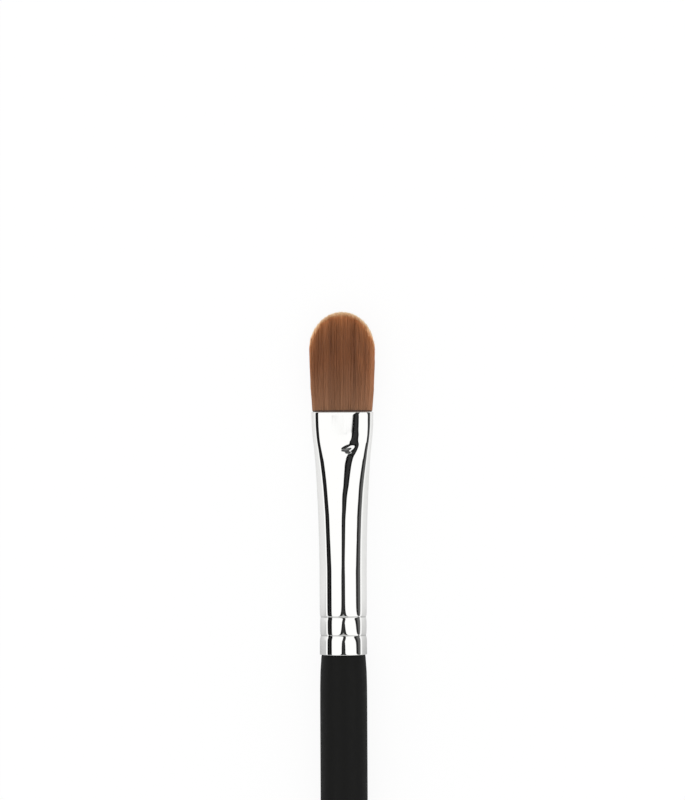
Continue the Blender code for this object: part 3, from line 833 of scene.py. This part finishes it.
def filament_lines(settings, seats, tips, chance):
    """Points of every filament's middle line."""
    shares = np.array(FILAMENT_SHARES)[:, 0]
    heights = tips[:, None] * shares
    levels = heights / TUFT_HEIGHT
    half_width = settings.width / 2 - settings.filament_diameter / 2
    widths = softened(levels, TUFT_WIDTH_SHARES, TUFT_REACH_SHARE) * half_width
    depths = softened(levels, TUFT_DEPTH_SHARES, TUFT_REACH_SHARE) * (settings.thickness / 2)
    flat = np.stack([seats[:, :1] * widths, seats[:, 1:] * depths], axis=-1)
    jitter = settings.clump * CLUMP_JITTER_SHARE * chance.random((len(seats), 2))
    middles = np.round((flat[:, 3] + jitter) / settings.clump) * settings.clump
    drawn = settings.clumping * np.maximum(shares, 0.0) ** CLUMP_POWER
    flat += (middles[:, None] - flat) * drawn[None, :, None] * CLUMP_SHARES
    strays = settings.wander * chance.standard_normal((len(seats), len(shares), 2))
    strays[:, :3] *= ROOT_WANDER_SHARE
    flat += strays * np.linspace(0.0, 1.0, len(shares))[None, :, None]
    return np.concatenate([MOUTH_X + heights[..., None], flat + (0.0, AXIS_Z)], axis=-1)


def strand_faces(count, levels):
    """Corners of the faces of so many tubes, each closed by a flat root and a pointed tip."""
    sides = FILAMENT_SIDES
    around = [(side, (side + 1) % sides) for side in range(sides)]
    last = (levels - 2) * sides
    tip = last + sides
    quads = []
    for low in range(0, last, sides):
        for here, there in around:
            quads.append((low + here, low + there, low + there + sides, low + here + sides))
    ends = [(last + here, last + there, tip) for here, there in around]
    ends.append(tuple(reversed(range(sides))))
    starts = np.arange(count)[:, None, None] * (tip + 1)
    faces = (np.array(quads) + starts).reshape(-1, 4).tolist()
    return faces + (np.array(ends) + starts).reshape(-1, sides).tolist()


def map_strands(data, shades, shifts):
    """Maps a strand's shade across and the place along it, which its own shift moves."""
    shares = np.array(FILAMENT_SHARES)
    along = np.clip(shares[:, 0] + shifts[:, None] * shares[:, 2], 0.0, 1.0)
    along[:, -2] = np.minimum(along[:, -2], LAST_RING_SHARE)
    along = np.concatenate([np.repeat(along[:, :-1], FILAMENT_SIDES, axis=1), along[:, -1:]], axis=1)
    sides = np.arange(along.shape[1]) % FILAMENT_SIDES
    across = shades[:, None] * (1 - 2 * SIDE_SHADE_SHARE) + SIDE_SHADE_SHARE * sides
    places = np.stack([across, along], axis=-1).reshape(-1, 2).astype(np.float32)
    corners = np.empty(len(data.loops), dtype=np.int32)
    data.loops.foreach_get("vertex_index", corners)
    data.uv_layers.new(name="OFBake").uv.foreach_set("vector", places[corners].ravel())


def strand_mesh(points, diameter, shades, shifts, chance):
    """A closed tube round every line, with a map of its shade and of the places along it."""
    count, levels = points.shape[:2]
    corners_share = np.arange(FILAMENT_SIDES) / FILAMENT_SIDES
    turn = 2 * np.pi * (chance.random(count)[:, None] + corners_share)
    ring = np.stack([np.zeros_like(turn), np.cos(turn), np.sin(turn)], axis=-1)
    thickness_shares = np.array(FILAMENT_SHARES)[None, :-1, None, None, 1]
    rings = points[:, :-1, None] + diameter / 2 * thickness_shares * ring[:, None]
    corners = np.concatenate([rings.reshape(count, -1, 3), points[:, -1:]], axis=1)
    data = bpy.data.meshes.new("filament_tuft")
    data.from_pydata(corners.reshape(-1, 3).tolist(), [], strand_faces(count, levels))
    data.shade_smooth()
    map_strands(data, shades, shifts)
    return data


def strand_tones(settings, seats, chance):
    """The shade of every filament, and how early its tip colours start."""
    beside = np.abs(seats[:, 0])
    streaks, broad = (patches(seats, np.array(cells), chance) for cells in (STREAK_CELLS, BROAD_CELLS))
    near, right_at, lean = EDGE_SHARES
    near_power, edge_power, early_power = EDGE_POWERS
    # Lighter strands towards the edges: partly their own tone, partly painted rim light
    edge = near * beside**near_power + right_at * beside**edge_power
    narrow_share, broad_share, chance_share, drop = SHADE_SHARES
    mixed = narrow_share * streaks + broad_share * broad + chance_share * chance.random(len(seats))
    shades = np.clip(mixed - drop + edge + lean * seats[:, 0], 0.0, 1.0)
    chance_share, streak_share, drop = EARLY_SHARES
    early = chance_share * chance.random(len(seats)) + streak_share * streaks - drop
    return shades, settings.edge_tone * beside**early_power + settings.tone_shift * early


def add_root_slice(data, settings, ferrule):
    """Adds the slice of glued root that the filaments stand in, as a closed plug in the bore."""
    top = TUBE_LENGTH - settings.recess
    stations = np.linspace(top - settings.slice, top, SLICE_ROWS)
    rows = tube_rows(ferrule, stations, ferrule.wall + settings.root_gap, SLICE_SIDES)
    bm = bmesh.new()
    bm.from_mesh(data)
    loops = [[bm.verts.new(point) for point in row] for row in rows]
    slice_faces = [bm.faces.new(list(reversed(loops[0]))), bm.faces.new(loops[-1])]
    for lower, upper in zip(loops, loops[1:]):
        for here in range(SLICE_SIDES):
            there = (here + 1) % SLICE_SIDES
            slice_faces.append(bm.faces.new((lower[here], lower[there], upper[there], upper[here])))
    bmesh.ops.recalc_face_normals(bm, faces=slice_faces)
    for face in slice_faces:
        face.material_index = 1
    bm.to_mesh(data)
    bm.free()


class BRUSH_OT_tuft(bpy.types.Operator):
    """Builds the tuft, filament by filament, and the slice of glued root that it stands in"""

    bl_idname = "brush.tuft"
    bl_label = "Tuft"

    def execute(self, context):
        settings = context.scene.brush_tuft
        chance = np.random.default_rng(TUFT_SEED)
        seats, pitch = honeycomb(settings.filaments)
        seats = seats + pitch * SEAT_JITTER_SHARE * (chance.random(seats.shape) - 0.5)
        seats /= max(1.0, np.hypot(*seats.T).max())
        seats[:, 0] *= 1 + settings.crowding * (1 - seats[:, 0] ** 2)
        tips = tuft_heights(settings, seats, chance)
        points = filament_lines(settings, seats, tips, chance)
        shades, shifts = strand_tones(settings, seats, chance)
        data = strand_mesh(points, settings.filament_diameter, shades, shifts, chance)
        add_root_slice(data, settings, context.scene.brush_ferrule)
        place(data, filament_material(settings), "bristle_tuft", "filament")
        glued = context.scene.brush_inside.glued_root
        data.materials.append(root_material("glued tuft root", glued, SLICE_FIBRES))
        return {"FINISHED"}


def dress(node, skin):
    """Gives a CAD node that stays in its own shape a finish."""
    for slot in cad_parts[node].material_slots:
        slot.material = skin


class BRUSH_OT_inside(bpy.types.Operator):
    """Finishes the pieces inside the ferrule and under the lacquer"""

    bl_idname = "brush.inside"
    bl_label = "Inner pieces"

    def execute(self, context):
        settings = context.scene.brush_inside
        wood, rings = opaque(settings.wood), opaque(settings.wood_grain)
        dress("handle_core", fibre_material("turned birch", wood, rings, BIRCH_FIBRES))
        dress("root_bundle", root_material("glued filament root", settings.glued_root, BUNDLE_FIBRES))
        dress("root_binding", thread_material(settings.thread))
        dress("tenon_glue", resin_material("tenon glue", settings.epoxy))
        dress("epoxy_plug", resin_material("epoxy resin", settings.epoxy))
        return {"FINISHED"}


def floor_material(settings):
    """A pale floor the camera sees nearly unshaded. Mirrors see a card, a cloth and painted shade on it.
    """
    made, tree, shader = new_material(
        "pale floor", **{"Base Color": opaque(settings.floor), "Roughness": 0.9, "Specular IOR Level": 0.0}
    )
    seen, mirrored = ray_kinds(tree)
    where = split(tree, object_place(tree))
    # Painted shade: mirrors see the floor darker beside the handle
    plain = settings.mirror_level
    shaded = plain * settings.handle_shade
    faded = ranged(tree, where["X"], RIM_X, RIM_X + settings.shade_run, shaded, plain)
    card = ranged(tree, where["Y"], -settings.card_start, -settings.card_start - settings.card_edge)
    dark = ranged(tree, where["Y"], -settings.dark_start, -settings.dark_start - settings.dark_edge)
    carded = mix_values(tree, card, faded, settings.card_level)
    around = mix_values(tree, dark, carded, settings.dark_level)
    level = calculated(tree, "MULTIPLY_ADD", mirrored, around, seen)
    glow = add_node(tree, "ShaderNodeEmission", [("Strength", level)])[0]
    unshaded = mix_values(tree, dark, settings.mirror_glow, 1.0)
    reflected = calculated(tree, "MULTIPLY", mirrored, unshaded)
    part = calculated(tree, "MULTIPLY_ADD", seen, settings.floor_glow, reflected)
    mixed = add_node(tree, "ShaderNodeMixShader", enumerate((part, shader.outputs[0], glow)))[0]
    tree.links.new(mixed, tree.nodes["Material Output"].inputs["Surface"])
    return made


def build_floor(settings):
    """A square floor that keeps a faint shadow of the brush."""
    bm = bmesh.new()
    bmesh.ops.create_grid(bm, x_segments=8, y_segments=8, size=settings.floor_size / 2)
    data = bpy.data.meshes.new("studio_floor")
    bm.to_mesh(data)
    bm.free()
    data.materials.append(floor_material(settings))
    floor = add_object("studio_floor", data)


def build_cards(tree, turn, along):
    """The tent's brightness at an angle round the brush and a share along it from -1 to 1."""
    ahead = calculated(tree, "MAXIMUM", along, 0.0)
    behind = calculated(tree, "SUBTRACT", ahead, along)
    tent = WHITE
    for *edges, softness, level in GAPS:
        steps = [add_group(tree, "Card edge", turn, ahead, behind, *edge, softness)[0] for edge in edges]
        gap = calculated(tree, "SUBTRACT", *steps, use_clamp=True)
        tent = mix_colours(tree, gap, tent, opaque([level] * 3))
    ends = share_ramp(tree, ranged(tree, along, -1.0, 1.0), END_SHARES)
    end_share = ranged(tree, calculated(tree, "ABSOLUTE", along), *END_REACH_SHARES)
    return mix_colours(tree, end_share, tent, ends)


def build_light(settings):
    """A tent of white cards, whose dark gaps only mirrors see, on a white background."""
    world = bpy.data.worlds.new("studio")
    bpy.context.scene.world = world
    world.use_nodes = True
    tree = world.node_tree
    tree.nodes.clear()
    where = add_node(tree, "ShaderNodeTexCoord")["Generated"]
    links = [("Vector", where), ("Angle", -settings.roll)]
    parts = split(tree, add_node(tree, "ShaderNodeVectorRotate", links, rotation_type="X_AXIS")[0])
    beside = calculated(tree, "MULTIPLY", parts["Y"], -1.0)
    turn = calculated(tree, "DEGREES", calculated(tree, "ARCTAN2", beside, parts["Z"]))
    tent = build_cards(tree, turn, parts["X"])
    seen, mirrored = ray_kinds(tree)
    whole = mix_colours(tree, mirrored, WHITE, tent)
    lit = add_node(tree, "ShaderNodeBackground", enumerate((whole, settings.brightness)))[0]
    white = add_node(tree, "ShaderNodeBackground", enumerate((WHITE, 1.0)))[0]
    mixed = add_node(tree, "ShaderNodeMixShader", enumerate((seen, lit, white)))[0]
    add_node(tree, "ShaderNodeOutputWorld", [("Surface", mixed)])


def build_camera(settings):
    """Looks down on the brush, tuft at the top of the picture, a few degrees off the flat's middle."""
    data = bpy.data.cameras.new("camera")
    data.lens = settings.lens
    data.clip_start = 0.01
    camera = add_object("camera", data)
    sine, cosine = math.sin(settings.roll), math.cos(settings.roll)
    right = Vector((0.0, -cosine, -sine))
    up = Vector((1.0, 0.0, 0.0))
    back = Vector((0.0, -sine, cosine))
    aim = Vector((RIM_X + settings.aim_station, 0.0, AXIS_Z)) + right * settings.aim_offset
    turn = Matrix((right, up, back)).transposed().to_4x4() @ Matrix.Rotation(settings.twist, 4, "Z")
    camera.matrix_world = Matrix.Translation(aim + back * settings.distance) @ turn
    bpy.context.scene.camera = camera


class BRUSH_OT_studio(bpy.types.Operator):
    """Sets up the floor, the light and the camera"""

    bl_idname = "brush.studio"
    bl_label = "Studio"

    def execute(self, context):
        settings = context.scene.brush_studio
        build_floor(settings)
        build_light(settings)
        build_camera(settings)
        context.scene.view_settings.view_transform = "Standard"
        return {"FINISHED"}


PIECES = (
    (BRUSH_OT_ferrule, "brush_ferrule", FerruleSettings),
    (BRUSH_OT_handle, "brush_handle", HandleSettings),
    (BRUSH_OT_tuft, "brush_tuft", TuftSettings),
    (BRUSH_OT_inside, "brush_inside", InsideSettings),
    (BRUSH_OT_studio, "brush_studio", StudioSettings),
)


class BRUSH_PT_panel(bpy.types.Panel):
    """Lists the brush's pieces and their settings"""

    bl_idname = "BRUSH_PT_panel"
    bl_label = "Eye makeup brush"
    bl_space_type = "VIEW_3D"
    bl_region_type = "UI"
    bl_category = "Brush"

    def draw(self, context):
        for operator, pointer, settings in PIECES:
            box = self.layout.box()
            box.operator(operator.bl_idname)
            for name in settings.__annotations__:
                box.prop(getattr(context.scene, pointer), name)


def register():
    for operator, pointer, settings in PIECES:
        bpy.utils.register_class(settings)
        bpy.utils.register_class(operator)
        setattr(bpy.types.Scene, pointer, PointerProperty(type=settings))
    bpy.utils.register_class(BRUSH_PT_panel)


def unregister():
    bpy.utils.unregister_class(BRUSH_PT_panel)
    for operator, pointer, settings in reversed(PIECES):
        delattr(bpy.types.Scene, pointer)
        bpy.utils.unregister_class(operator)
        bpy.utils.unregister_class(settings)


def main():
    register()
    bpy.ops.brush.studio()
    bpy.ops.brush.inside()
    bpy.ops.brush.ferrule()
    bpy.ops.brush.handle()
    bpy.ops.brush.tuft()


if __name__ == "__main__":
    main()
